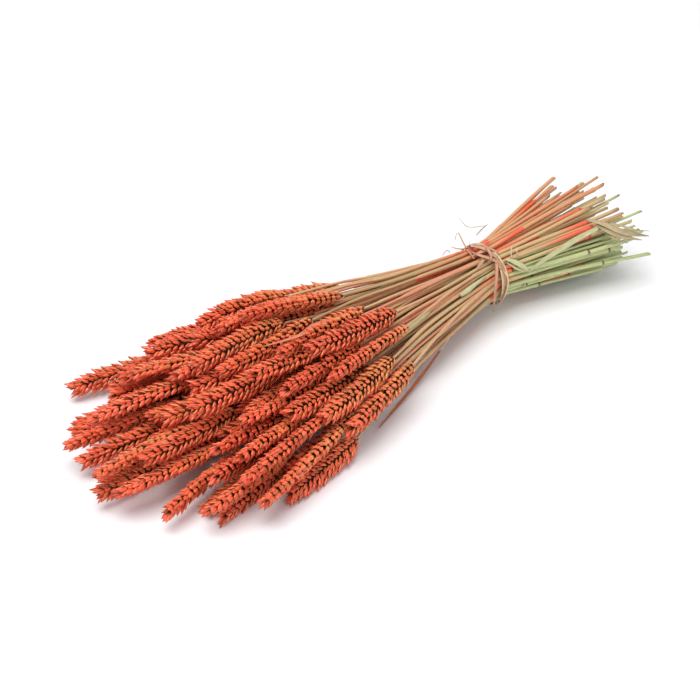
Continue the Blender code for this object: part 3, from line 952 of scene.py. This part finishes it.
def addTube(shape, line, radii, values, draw):  # open at the cut end, capped at the ear
    sides = straw["sides"]
    tangents = np.gradient(line, axis=0)
    tangents /= np.linalg.norm(tangents, axis=1)[:, None]
    slant = draw.uniform(0, straw["slant"])
    turned = draw.uniform(0, math.tau)
    rows = [(0, straw["holeShare"], straw["holeDepth"]), (0, straw["holeShare"], 0)]
    rows += [(k, 1, 0) for k in range(len(line))]
    first = len(shape["verts"])
    for number, (k, share, deep) in enumerate(rows):
        side = np.cross(tangents[k], (0, 0, 1))
        side /= np.linalg.norm(side)
        over = np.cross(side, tangents[k])
        for q in range(sides):
            angle = math.tau * q / sides
            reach = radii[k] * share
            spot = line[k] + reach * (side * math.cos(angle) + over * math.sin(angle))
            spot = spot + tangents[k] * deep
            if k == 0 and not deep:
                spot = spot + tangents[k] * reach * slant * math.cos(angle + turned)
            spot[2] = max(spot[2], straw["floor"])
            shape["verts"].append(spot)
            shape["around"].append(math.cos(angle))
            # the ring at the bottom of the hole carries the painted shade
            shape["paintedHoleShade"].append(1.0 if number == 0 else 0.0)
            for key, column in values.items():
                shape[key].append(column[k])
    for number in range(len(rows) - 1):
        for q in range(sides):
            a = first + number * sides + q
            b = first + number * sides + (q + 1) % sides
            shape["faces"].append((a, a + sides, b + sides, b))
    shape["faces"].append(tuple(range(first, first + sides)))
    last = first + (len(rows) - 1) * sides
    shape["faces"].append(tuple(reversed(range(last, last + sides))))


def thinStems(stalks, draw):  # in the middle between three neighbours, nearer the outside
    disc = np.array(evenDisc(bunch["stalks"]))
    near = np.linalg.norm(disc[:, None] - disc[None], axis=2) < straw["thinWithin"]
    found = []
    for i in range(len(disc)):
        for j in range(i + 1, len(disc)):
            for k in range(j + 1, len(disc)):
                if near[i, j] and near[j, k] and near[i, k]:
                    middle = disc[[i, j, k]].mean(axis=0)
                    if np.linalg.norm(middle) > straw["thinFromMiddle"]:
                        found.append(((i, j, k), middle))
    draw.shuffle(found)
    for members, middle in found[: straw["thinStems"]]:
        keys = stalks[list(members)].mean(axis=0)[: bunch["neck"] + 1]
        keys[0] += (keys[0] - keys[1]) * draw.uniform(*straw["thinCut"])
        yield list(keys), middle


def makeStems(stalks, sizes, material):
    draw = random.Random(straw["seed"])
    names = ("verts", "faces", "along", "around", "paintedHoleShade", "tone", "green", "warm", "dye",
             "nodeRing")
    shape = {key: [] for key in names}
    jobs = []
    for points, size, place in zip(stalks, sizes, evenDisc(bunch["stalks"])):
        keys = list(points[: bunch["neck"] + 1])
        into = points[bunch["middle"]] - points[bunch["neck"]]
        keys[-1] = keys[-1] + into / np.linalg.norm(into) * straw["intoEar"]
        jobs.append((keys, size[1], place))
    for keys, place in thinStems(stalks, draw):
        jobs.append((keys, draw.uniform(*bunch["footRadius"]) * straw["thinShare"], place))
    for keys, foot, (across, up) in jobs:
        line, radii, values = describeStem(keys, foot, draw)
        low = ripening["up"] * up + ripening["across"] * across
        green, warm = [
            min(1.0, max(0.0, slope * low + draw.gauss(mean, spread)))
            for slope, mean, spread in (ripening["green"], ripening["warm"])
        ]
        start = tieMiddle.x - ripening["beforeTie"]
        atCut = [ease((x - start) / ripening["within"]) for x in line[:, 0]]
        left = ripening["greenAtEars"]
        values["green"] = [green * (left + (1 - left) * share) for share in atCut]
        values["nodeRing"] = [ring * green for ring in values["nodeRing"]]
        values["warm"] = [warm * share for share in atCut]
        addTube(shape, line, radii, values, draw)
    verts, faces = shape.pop("verts"), shape.pop("faces")
    piece = newObject("straw_stems", meshFrom("straw_stems", verts, faces, (), shape), material)
    piece.data.polygons.foreach_set("use_smooth", [len(f) == 4 for f in faces])
    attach(piece, "root")
    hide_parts("stems")
    print(f"stems: {len(jobs)} of them, {len(faces)} faces")


def aboutTie(point):  # outwards from the bunch's middle line
    return (0, point[1], point[2] - bunch["tieHeight"])


def upwards(point):
    return (0, 0, 1)


# Strips of leaf and raffia: which way they face, how far apart their rings are, and how thick
# and wavy they are where nothing else is said
ribbon = {
    "out": aboutTie,
    "step": 0.0025,
    "thick": 0.0001,
    "wave": 0,
    "phase": 0,
    "waveLength": 0.004,
    "shares": (-1, -0.5, 0, 0.5, 1),
    "floor": 0.0002,
}


def ribbonMesh(name, strips, material):
    verts, faces, alongs, acrosses = [], [], [], []
    shares = ribbon["shares"]
    ringSize = 2 * len(shares)
    for strip in ({**ribbon, **strip} for strip in strips):
        line = smoothPath([np.array(p) for p in strip["points"]], strip["step"])
        count = len(line)
        keyed = np.linspace(0, 1, len(strip["points"]))
        half = np.interp(np.linspace(0, 1, count), keyed, strip["half"])
        tangents = np.gradient(line, axis=0)
        tangents /= np.linalg.norm(tangents, axis=1)[:, None]
        gone = np.concatenate([[0], np.cumsum(np.linalg.norm(np.diff(line, axis=0), axis=1))])
        first = len(verts)
        for k in range(count):
            out = np.array(strip["out"](line[k]), float)
            side = np.cross(tangents[k], out)
            side /= np.linalg.norm(side) + 1e-9
            out = np.cross(side, tangents[k])
            wave = strip["wave"] * math.sin(gone[k] / strip["waveLength"] + strip["phase"])
            for face in (1, -1):
                order = shares if face > 0 else shares[::-1]
                for share in order:
                    dip = strip["fold"] * abs(share) * half[k]
                    lift = dip + wave * share * half[k] + face * strip["thick"]
                    spot = line[k] + side * share * half[k] + out * lift
                    spot[2] = max(spot[2], strip["floor"])
                    verts.append(spot)
                    alongs.append(gone[k])
                    acrosses.append(share)
        for k in range(count - 1):
            for q in range(ringSize):
                a = first + k * ringSize + q
                b = first + k * ringSize + (q + 1) % ringSize
                faces.append((a, b, b + ringSize, a + ringSize))
        faces.append(tuple(reversed(range(first, first + ringSize))))
        end = first + (count - 1) * ringSize
        faces.append(tuple(range(end, end + ringSize)))
    mesh = meshFrom(name, verts, faces, (), {"along": alongs, "across": acrosses})
    mesh.polygons.foreach_set("use_smooth", [True] * len(mesh.polygons))
    return newObject(name, mesh, material)


def fromTie(line, unit=0.001):  # a strip over the ground, from points measured from the tie
    points = [(x * unit, y * unit, z * unit + bunch["tieHeight"]) for x, y, z, _ in line]
    return {"points": points, "half": [half * unit for *_, half in line]}


# Dry leaf blades: the depth of the fold, which way it faces, and a line of points. A point is
# x, y and z from the tie's middle and half the blade's width, in millimetres
leaves = {
    "green leaf": (
        (-0.3, aboutTie, ((6.7, -18.2, 20.7, 1.0), (11.5, -21.7, 18.5, 2.4),
         (17.1, -25.9, 14.3, 2.6), (24.1, -29.6, 7.1, 1.2))),
        (0.2, aboutTie, ((24.1, -29.6, 7.1, 1.0), (35.6, -31.3, 12.2, 2.2),
         (50.7, -33.6, 17.1, 2.6), (71.7, -36.2, 22.2, 2.5), (93.9, -40.3, 26.7, 1.8))),
        (0.2, aboutTie, ((5.9, -20.4, 18.2, 0.4), (12.8, -25.7, 12.0, 1.0),
         (20.2, -28.2, 7.1, 0.8))),
        (-0.4, aboutTie, ((-19.1, -21.3, 16.3, 0.6), (-33.1, -24.1, 15.8, 1.6),
         (-46.0, -27.0, 15.5, 2.4), (-53.8, -28.2, 15.5, 1.4))),
        (-0.4, aboutTie, ((-91.3, -31.8, 17.8, 0.8), (-104.9, -34.9, 18.7, 1.8),
         (-117.4, -38.1, 19.2, 2.4), (-125.2, -39.7, 18.8, 0.8))),
    ),
    "brown leaf": (
        (0.6, aboutTie, ((91.9, -28.9, 30.1, 0.9), (98.5, -40.3, 28.8, 2.4),
         (108.5, -54.7, 23.7, 2.6), (128.3, -68.3, 18.2, 0.4))),
        (0.5, aboutTie, ((95.1, -36.7, 27.5, 1.2), (99.7, -47.8, 24.0, 2.4),
         (109.1, -58.1, 20.1, 1.8), (121.6, -66.6, 16.1, 0.3))),
        (0.4, aboutTie, ((98.1, -38.3, 29.1, 0.5), (107.8, -50.1, 28.8, 1.0),
         (116.5, -62.0, 26.0, 0.8), (127.0, -69.7, 24.4, 0.2))),
        (0.4, aboutTie, ((97.2, -41.9, 25.2, 0.6), (100.1, -52.5, 20.0, 1.2),
         (111.2, -60.3, 14.2, 0.3))),
        (-0.3, aboutTie, ((-56.4, -28.9, -14.3, 0.8), (-70.4, -35.5, -13.4, 2.0),
         (-83.5, -42.5, -12.6, 2.4), (-92.9, -46.7, -11.8, 0.8))),
    ),
    "dyed leaf": (
        (0.4, upwards, ((-87.0, -40.5, -18.0, 0.8), (-107.7, -45.5, -26.5, 1.5),
         (-143.9, -58.5, -30.5, 1.2), (-179.3, -71.5, -31.8, 0.3))),
        (0.5, upwards, ((-161.5, -10.6, 34.0, 0.6), (-185.3, -12.5, 40.0, 1.2),
         (-201.9, -18.3, 45.0, 2.6), (-218.2, -24.0, 48.0, 2.0), (-235.7, -23.0, 50.0, 1.2),
         (-250.6, -18.9, 50.0, 0.3))),
    ),
}
leafThick = 0.00015


def makeLeaves(materials):
    for name, blades in leaves.items():
        strips = [
            {"fold": fold, "out": out, "thick": leafThick, **fromTie(line)}
            for fold, out, line in blades
        ]
        piece = ribbonMesh(name.replace(" ", "_"), strips, materials[name])
        moveMesh(piece)
        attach(piece, "root")
    print("leaves made")


def moveMesh(piece):  # from the layout's place to the frame's
    piece.data.transform(shiftMatrix)


# The raffia tie: strips round the stems, a flat knot and torn ends
tie = {
    "radius": 0.0268,
    "turns": (
        {"half": 0.0017, "turn": -3.0, "x": -0.0008, "lift": 0.0, "finish": "raffia"},
        {"half": 0.0012, "turn": 4.5, "x": -0.0022, "lift": 0.0004, "finish": "raffia"},
        {"half": 0.0010, "turn": -6.0, "x": 0.0004, "lift": 0.0, "finish": "pale raffia"},
        {"half": 0.0008, "turn": 2.0, "x": 0.0012, "lift": 0.0002, "finish": "pale raffia"},
    ),
    "startAngle": 0.4,
    "ripple": 0.0004,
    "steps": 40,
    "turnStyle": {"fold": -0.12, "wave": 0.10, "thick": 0.00018},
    "phaseStep": 2.0,
    "endStyle": {"fold": 0.5, "step": 0.0015},
    "shreds": 16,
    "shredFrom": (-0.006, 0.005),
    "shredReach": (0.004, 0.010),
    "shredSlide": 0.8,
    "shredRise": (0.0002, 0.0012),
    "shredTipRise": (0.001, 0.004),
    "shredBend": 0.12,
    "shredHalf": (0.0004, 0.0005, 0.0001),
    "seed": 8,
}


def turnPoints(turn):
    points = []
    lean = math.radians(turn["turn"])
    radius = tie["radius"] + turn["lift"]
    for k in range(tie["steps"] + 1):
        angle = math.tau * k / tie["steps"] + tie["startAngle"]
        y = radius * math.cos(angle)
        z = radius * math.sin(angle)
        x = turn["x"] - y * math.sin(lean) + tie["ripple"] * math.sin(3 * angle)
        points.append((x, y * math.cos(lean), z + bunch["tieHeight"]))
    return points


# Loose ends of the raffia and the strips of its knot, with points as for the leaves
looseEnds = {
    "raffia": (
        ((-0.8, -13.8, 22.7, 1.5), (-8.7, -22.7, 16.5, 1.7), (-15.5, -28.8, 4.7, 1.5),
         (-10.5, -23.7, -22.4, 0.2)),
        ((-9.0, 11.5, 23.7, 1.3), (-9.3, 1.8, 29.0, 2.2), (-6.3, -5.9, 29.0, 2.0),
         (-0.2, -14.3, 22.7, 1.5)),
        ((-14.1, 2.6, 26.1, 0.8), (-14.0, -8.0, 27.3, 1.5), (-7.8, -13.8, 24.6, 1.6),
         (-0.4, -18.4, 18.9, 1.0)),
        ((-16.7, -2.6, 25.8, 0.9), (-9.5, -5.7, 28.3, 1.7), (-1.5, -5.7, 27.9, 1.5),
         (4.5, -10.7, 23.9, 0.9)),
        ((-10.4, -14.2, 22.0, 0.7), (-6.8, -13.8, 26.2, 1.4), (-4.4, -6.3, 29.4, 1.5),
         (3.4, 10.0, 24.3, 0.7)),
        ((-23.0, -14.2, 22.3, 0.6), (-17.4, -13.1, 24.4, 1.4), (-8.8, -10.0, 25.1, 0.8)),
        ((-18.7, -5.9, 25.3, 0.6), (-12.7, 11.4, 27.2, 0.7), (-7.1, 26.2, 30.7, 0.5),
         (-12.9, 23.5, 27.4, 0.3)),
        ((12.2, 22.8, 22.5, 0.9), (25.3, 28.3, 21.6, 1.2), (33.9, 31.8, 20.1, 0.3)),
        ((-19.2, 20.9, 23.8, 0.3), (-18.5, 10.1, 26.7, 1.1), (-11.0, 7.2, 27.6, 0.6)),
        ((-30.8, 19.9, 20.6, 0.3), (-24.2, 20.9, 22.8, 0.8), (-22.6, 18.9, 20.7, 0.3)),
    ),
    "pale raffia": (
        ((-1.5, -17.7, 20.0, 0.6), (-4.1, -24.5, 12.5, 0.8), (-5.4, -27.8, 1.8, 0.8),
         (-2.2, -22.8, -15.4, 0.2)),
        ((-0.9, -19.0, 18.4, 0.6), (1.0, -26.8, 8.5, 0.9), (-1.0, -27.9, -4.1, 0.8),
         (-1.6, -21.3, -21.5, 0.2)),
        ((30.0, 30.2, 20.9, 0.4), (6.5, 28.4, 30.2, 0.4), (0.4, 33.5, 39.1, 0.2)),
        ((12.1, -18.8, 18.8, 0.4), (14.6, -15.9, 23.3, 0.6), (17.0, -13.8, 26.3, 0.3)),
        ((19.1, -19.2, 19.1, 0.4), (19.8, -17.5, 22.9, 0.5), (21.3, -15.4, 25.8, 0.2)),
    ),
}


def shreds(draw):  # torn fibres that stand out round the tie
    for _ in range(tie["shreds"]):
        angle = draw.uniform(0, math.tau)
        x = draw.uniform(*tie["shredFrom"])
        reach = draw.uniform(*tie["shredReach"])
        slide = draw.uniform(-tie["shredSlide"], tie["shredSlide"]) * reach
        rises = (*tie["shredRise"], draw.uniform(*tie["shredTipRise"]))
        line = []
        for share, rise, half in zip((0, 0.5, 1), rises, tie["shredHalf"]):
            turned = angle + share * draw.uniform(-tie["shredBend"], tie["shredBend"])
            away = tie["radius"] + rise
            spot = (x + slide * share, away * math.cos(turned), away * math.sin(turned))
            line.append((*spot, half))
        yield fromTie(line, 1)


def makeTie(materials):
    strips = {"raffia": [], "pale raffia": []}
    for number, turn in enumerate(tie["turns"]):
        half = [turn["half"]] * (tie["steps"] + 1)
        made = {"points": turnPoints(turn), "half": half, "phase": number * tie["phaseStep"]}
        strips[turn["finish"]].append({**tie["turnStyle"], **made})
    for name, lines in looseEnds.items():
        strips[name] += [{**tie["endStyle"], **fromTie(line)} for line in lines]
    torn = shreds(random.Random(tie["seed"]))
    strips["raffia"] += [{**tie["endStyle"], **shred} for shred in torn]
    for name, made in strips.items():
        piece = ribbonMesh(name.replace(" ", "_"), made, materials[name])
        moveMesh(piece)
        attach(piece, "root")
        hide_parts("raffia_tie")
    print("tie made")


# The photographer's view: where the camera is from the tie, and where the tie is in the picture
view = {
    "azimuth": -45.4,
    "elevation": 33.2,
    "distance": 1.49,
    "tiePixel": (484, 273.5),
    "pixelsPerMetre": 1177,
    "frame": 700,
    "sensor": 36.0,
    "aimRounds": 8,
    "clipEnd": 20,
}


def makeCamera(middle):
    a, e = math.radians(view["azimuth"]), math.radians(view["elevation"])
    back = Vector((math.sin(a) * math.cos(e), -math.cos(a) * math.cos(e), math.sin(e)))
    data = bpy.data.cameras.new("camera")
    focal = view["pixelsPerMetre"] * view["distance"]
    data.sensor_width = view["sensor"]
    data.lens = view["sensor"] * focal / view["frame"]
    camera = bpy.data.objects.new("camera", data)
    bpy.context.scene.collection.objects.link(camera)
    camera.location = middle + back * view["distance"]
    aim = middle.copy()
    wanted = Vector(view["tiePixel"]) - Vector((view["frame"] / 2, view["frame"] / 2))
    for _ in range(view["aimRounds"]):
        turned = (aim - camera.location).to_track_quat("-Z", "Y")
        seen = turned.inverted() @ (middle - camera.location)
        pixel = Vector((seen.x, -seen.y)) * focal / -seen.z
        miss = (pixel - wanted) / view["pixelsPerMetre"]
        aim += turned @ Vector((miss.x, -miss.y, 0))
    camera.rotation_mode = "QUATERNION"
    camera.rotation_quaternion = (aim - camera.location).to_track_quat("-Z", "Y")
    data.clip_end = view["clipEnd"]
    bpy.context.scene.camera = camera


# A white table under a bright sky, with two soft lamps: name, place, size and power
studio = {
    "table": "F0F0F1",
    "tableRoughness": 0.7,
    "tableSize": 14,
    "sky": "FBFBFF",
    "skyStrength": 0.58,
    "lamps": (
        ("key", (-0.4, 0.1, 2.0), 1.8, 40.0),
        ("fill", (0.2, -1.9, 1.2), 1.6, 8.0),
    ),
}


def makeStudio(middle):
    material, tree = newMaterial("white studio table")
    surface = {"Base Color": linear(studio["table"]), "Roughness": studio["tableRoughness"]}
    shader = addNode(tree, "ShaderNodeBsdfPrincipled", surface)
    addNode(tree, "ShaderNodeOutputMaterial", {"Surface": shader.outputs[0]})
    place = (middle.x, middle.y, 0)
    bpy.ops.mesh.primitive_plane_add(size=studio["tableSize"], location=place)
    floor = bpy.context.object
    floor.name = "studio_floor"
    floor.data.materials.append(material)
    floor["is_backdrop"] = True
    world = bpy.data.worlds.new("studio")
    world.use_nodes = True
    background = world.node_tree.nodes["Background"].inputs
    background["Color"].default_value = linear(studio["sky"])
    background["Strength"].default_value = studio["skyStrength"]
    bpy.context.scene.world = world
    for name, place, size, power in studio["lamps"]:
        data = bpy.data.lights.new(name, "AREA")
        data.size = size
        data.energy = power
        lamp = bpy.data.objects.new(name, data)
        lamp.location = Vector(place)
        lamp.rotation_mode = "QUATERNION"
        lamp.rotation_quaternion = (middle - lamp.location).to_track_quat("-Z", "Y")
        bpy.context.scene.collection.objects.link(lamp)
    bpy.context.scene.view_settings.view_transform = "Standard"


stalks, sizes, pairs = layOut()
named = earNames(pairs)
shift = findShift(stalks, named)
print("laid out", [round(float(v) * 1000, 2) for v in shift], "mm from the frame")
stalks = stalks + shift
bunch["tieHeight"] += shift[2]

shiftMatrix = Matrix.Translation((shift[0], shift[1], 0))
tieMiddle = Vector((shift[0], shift[1], bunch["tieHeight"]))

makeCamera(tieMiddle)
makeStudio(tieMiddle)
makeEars(stalks, sizes, named, huskMaterial())
makeStems(stalks, sizes, strawMaterial())
finishes = {name: leafMaterial(name) for name in leafFinishes}
makeLeaves(finishes)
makeTie(finishes)

boxes = {"cad": cadBox, "visual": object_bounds()}
{k: [list(v) for v in pair] for k, pair in boxes.items()}
